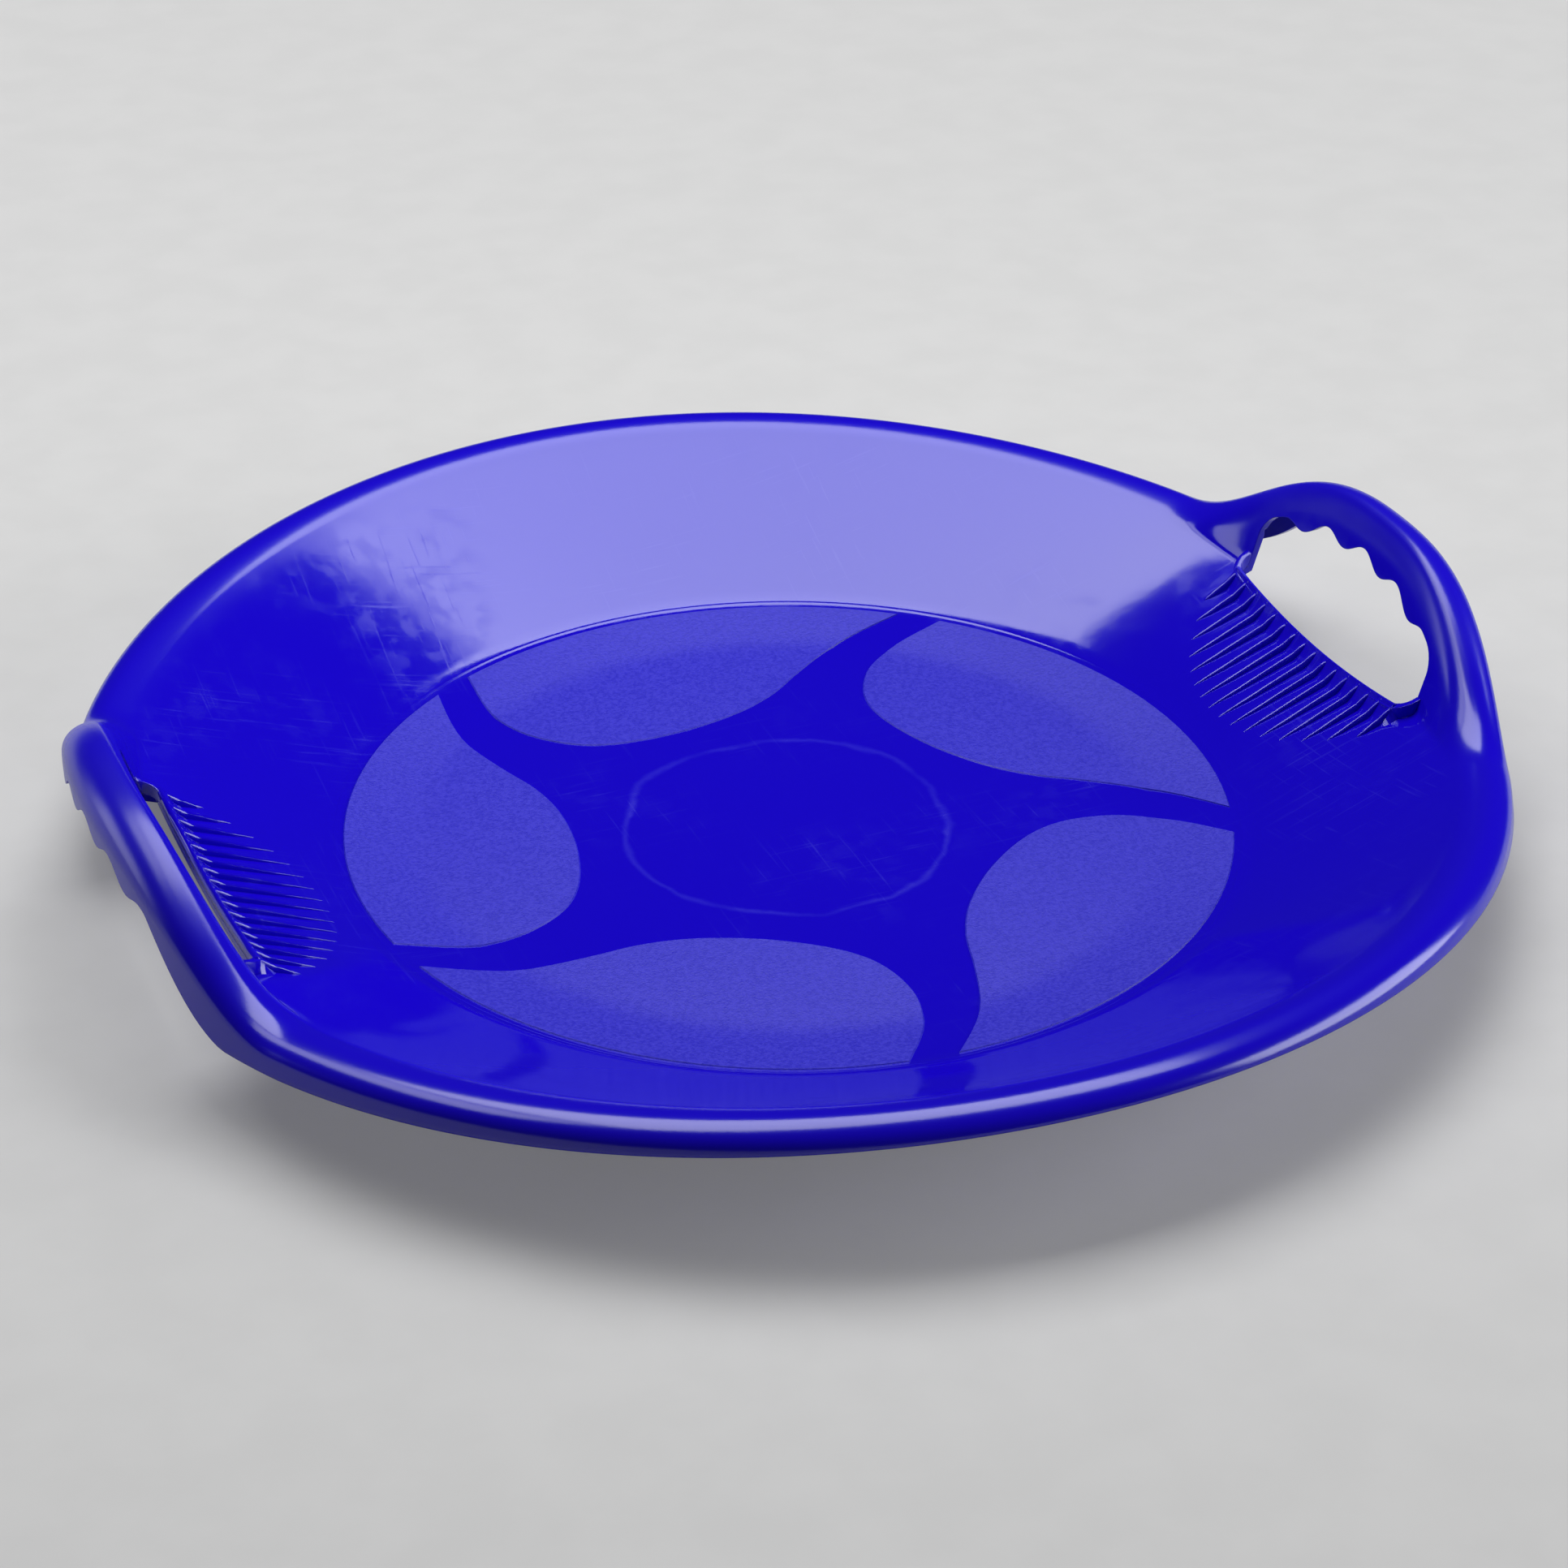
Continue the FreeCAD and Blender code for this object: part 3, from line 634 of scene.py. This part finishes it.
def gloss_blue(name, edge_radius):
    """Glossy blue polyethylene: a polished bowl with scuffs and a wavering ring of flow marks, and a
    satin rim."""
    finish = Finish(name)
    finish.shader.inputs["Specular IOR Level"].default_value = PLASTIC_SHINE
    radius = finish.plan_radius()
    rim = finish.ramp(radius, *SATIN_RIM_RADII)
    bowl = finish.math("SUBTRACT", 1.0, rim)
    grip = finish.math("MULTIPLY", finish.ramp(finish.height(), *SATIN_GRIP_HEIGHTS), rim)
    smudge_noise = finish.noise(scale=13, detail=6)
    smudge = finish.math("MULTIPLY", finish.ramp(smudge_noise, start=0.40, end=0.68), bowl)
    speck_noise = finish.noise(scale=95, detail=6)
    specks = finish.math("MULTIPLY", finish.ramp(speck_noise, start=0.46, end=0.62), smudge)
    scratch_noise = finish.noise(scale=30, detail=3, stretch=(1, 26, 1), turn=0.6)
    scratches = finish.ramp(scratch_noise, start=0.60, end=0.70)
    cross_noise = finish.noise(scale=24, detail=3, stretch=(30, 1, 1), turn=0.2)
    cross_scratches = finish.ramp(cross_noise, start=0.62, end=0.70)
    scuff = finish.math("MULTIPLY", finish.math("MAXIMUM", scratches, cross_scratches), smudge)
    scuff = finish.math("MULTIPLY", scuff, bowl)
    waver_noise = finish.noise(scale=24, detail=4)
    wavering = finish.math("MULTIPLY_ADD", waver_noise, FLOW_RING_WAVER, radius)
    mean_radius = FLOW_RING_RADIUS + FLOW_RING_WAVER / 2
    from_ring = finish.math("ABSOLUTE", finish.math("SUBTRACT", wavering, mean_radius))
    blotches = finish.ramp(finish.noise(scale=36, detail=3), start=0.28, end=0.56, low=0.25)
    ring_line = finish.ramp(from_ring, start=0.0, end=FLOW_RING_FADE, low=1.0, high=0.0)
    ring = finish.math("MULTIPLY", ring_line, blotches)
    marks = finish.math("MULTIPLY_ADD", scuff, SCUFF_SHARE, ring)
    finish.colours(marks, BLUE, SCUFFED_BLUE)
    additions = (
        (rim, RIM_ROUGHNESS), (grip, GRIP_ROUGHNESS), (smudge, SMUDGE_ROUGHNESS),
        (specks, SPECK_ROUGHNESS), (marks, MARK_ROUGHNESS),
    )
    roughness = BOWL_ROUGHNESS
    for share, added in additions:
        roughness = finish.math("MULTIPLY_ADD", share, added, roughness)
    finish.feed(finish.shader.inputs["Roughness"], roughness)
    waves = finish.noise(scale=20, detail=2)
    ripples = finish.math("MULTIPLY", finish.noise(scale=70, detail=4), bowl)
    grain = finish.math("MULTIPLY", finish.noise(scale=1500, detail=1), rim)
    finish.bump(
        edge_radius, (waves, WAVE_DEPTH), (ripples, RIPPLE_DEPTH),
        (grain, RIM_GRAIN_DEPTH), (scuff, -SCUFF_DEPTH),
    )
    return finish.material


def matte_blue():
    """The same blue with the fine grain of a textured mould."""
    finish = Finish("matte_blue")
    mottle = finish.ramp(finish.noise(scale=650, detail=3), start=0.32, end=0.68)
    finish.colours(mottle, PAD_BLUE, PALE_PAD_BLUE)
    roughness = finish.math("MULTIPLY_ADD", mottle, MOTTLE_ROUGHNESS, PAD_ROUGHNESS)
    finish.feed(finish.shader.inputs["Roughness"], roughness)
    finish.bump(FINE_EDGE_RADIUS, (finish.noise(scale=1100, detail=2), PAD_GRAIN_DEPTH))
    return finish.material


# Object
gloss = gloss_blue("gloss_blue", SHELL_EDGE_RADIUS)
rib_gloss = gloss_blue("rib_blue", FINE_EDGE_RADIUS)
matte = matte_blue()
shell = sled_shell()
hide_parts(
    "seat_floor", "wall_rear", "wall_front", "wall_right", "wall_left",
    "rim_rear", "rim_front", "handle_right", "handle_left",
)
pieces = [(shell, gloss, "gloss_shell")]
for side_name, turn in (("right", 1), ("left", -1)):
    pieces.append((softened(f"hand_lip_{side_name}", LIP_EDGE), gloss, "gloss_shell"))
    pieces.append((ribbed_lip(side_name, turn), rib_gloss, "gloss_shell"))
for number in range(1, PAD_COUNT + 1):
    pieces.append((seat_pad(number), matte, "matte_pad"))
for piece, material, slot in pieces:
    piece.data.materials.clear()
    piece.data.materials.append(material)
    piece.data.set_sharp_from_angle(angle=SHARP_ANGLE)
    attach(piece, "root")

# Camera: where the photograph was taken from
VIEW_TURN = math.radians(23.4)
VIEW_ELEVATION = math.radians(31.14)
VIEW_DISTANCE = 1.5576
VIEW_ROLL = math.radians(0.17)
LENS_MM = 89.7
SENSOR_MM = 36
AIM = Vector((-0.0020, 0.0130))
SEAT_MIDDLE = Vector((0, 0, 0.0065))
to_right = Vector((math.cos(VIEW_TURN), -math.sin(VIEW_TURN), 0))
to_back = Vector((math.sin(VIEW_TURN), math.cos(VIEW_TURN), 0))
to_top = Vector((0, 0, 1))

# Studio: half the floor's width, where its glow starts and ends, and how bright the surroundings are
FLOOR_HALF_WIDTH = 8
GLOW_RADII = (0.5, 2.4)
NEAR_GLOW = 0.14
BACKDROP_GLOW = 0.55
DIM_SURROUNDINGS = 0.02


def in_studio(right, back, height):
    """Point in the part's frame from distances right, back and up as the camera sees them."""
    return to_right * right + to_back * back + to_top * height


def add_camera():
    """Camera at the photograph's angle and distance."""
    data = bpy.data.cameras.new("camera")
    data.sensor_width = SENSOR_MM
    data.lens = LENS_MM
    camera = bpy.data.objects.new("camera", data)
    bpy.context.collection.objects.link(camera)
    reach = VIEW_DISTANCE * math.cos(VIEW_ELEVATION)
    camera.location = SEAT_MIDDLE + in_studio(0, -reach, VIEW_DISTANCE * math.sin(VIEW_ELEVATION))
    view_up = in_studio(0, math.sin(VIEW_ELEVATION), math.cos(VIEW_ELEVATION))
    aim = SEAT_MIDDLE + to_right * AIM.x + view_up * AIM.y
    turn = (aim - camera.location).to_track_quat("-Z", "Y")
    camera.rotation_euler = turn.to_euler()
    camera.rotation_euler.rotate_axis("Z", VIEW_ROLL)
    bpy.context.scene.camera = camera


def add_softbox(name, place, aim, width, height, glow):
    """Area lamp whose face is as bright as glow, where 1 is white."""
    data = bpy.data.lights.new(name, "AREA")
    data.shape = "RECTANGLE"
    data.size = width
    data.size_y = height
    data.energy = glow * math.pi * width * height
    lamp = bpy.data.objects.new(name, data)
    bpy.context.collection.objects.link(lamp)
    lamp.location = place
    lamp.rotation_euler = (aim - place).to_track_quat("-Z", "Y").to_euler()
    lamp.visible_camera = False


def add_floor():
    """Pale studio floor, which the camera sees as pale beyond the lamps' reach too."""
    bm = bmesh.new()
    bmesh.ops.create_grid(bm, x_segments=1, y_segments=1, size=FLOOR_HALF_WIDTH)
    floor = piece_from("floor", bm)
    finish = Finish("floor_paint")
    mottle = finish.ramp(finish.noise(scale=30, detail=4), start=0.3, end=0.7)
    finish.colours(mottle, FLOOR_GREY, PALE_FLOOR_GREY)
    finish.shader.inputs["Roughness"].default_value = FLOOR_ROUGHNESS
    path = finish.tree.nodes.new("ShaderNodeLightPath")
    far_glow = finish.ramp(finish.plan_radius(), *GLOW_RADII, NEAR_GLOW, BACKDROP_GLOW)
    seen_glow = finish.math("MULTIPLY", far_glow, path.outputs["Is Camera Ray"])
    finish.shader.inputs["Emission Color"].default_value = (1, 1, 1, 1)
    finish.feed(finish.shader.inputs["Emission Strength"], seen_glow)
    floor.data.materials.append(finish.material)


def light_world():
    """Dim surroundings, with a pale backdrop where the camera looks past the floor."""
    world = bpy.data.worlds.new("studio")
    bpy.context.scene.world = world
    world.use_nodes = True
    tree = world.node_tree
    background = tree.nodes["Background"]
    path = tree.nodes.new("ShaderNodeLightPath")
    strength = tree.nodes.new("ShaderNodeMapRange")
    strength.inputs["To Min"].default_value = DIM_SURROUNDINGS
    strength.inputs["To Max"].default_value = BACKDROP_GLOW
    background.inputs["Color"].default_value = (1, 1, 1, 1)
    tree.links.new(path.outputs["Is Camera Ray"], strength.inputs["Value"])
    tree.links.new(strength.outputs["Result"], background.inputs["Strength"])


add_camera()
add_floor()
light_world()
add_softbox(
    "top_softbox", in_studio(-0.04, 0.50, 1.5), in_studio(-0.04, 0.50, 0),
    width=1.40, height=1.15, glow=4.9,
)
add_softbox(
    "top_left_softbox", in_studio(-1.02, 0.20, 1.5), in_studio(-1.02, 0.20, 0),
    width=0.50, height=1.2, glow=3.2,
)
add_softbox(
    "right_softbox", in_studio(1.7, -0.12, 0.56), in_studio(0, -0.12, 0.56),
    width=1.4, height=0.90, glow=5.4,
)
add_softbox(
    "left_softbox", in_studio(-1.5, 0.20, 0.37), in_studio(0, 0.20, 0.37),
    width=0.9, height=0.50, glow=2.0,
)
bpy.context.scene.view_settings.view_transform = "Standard"
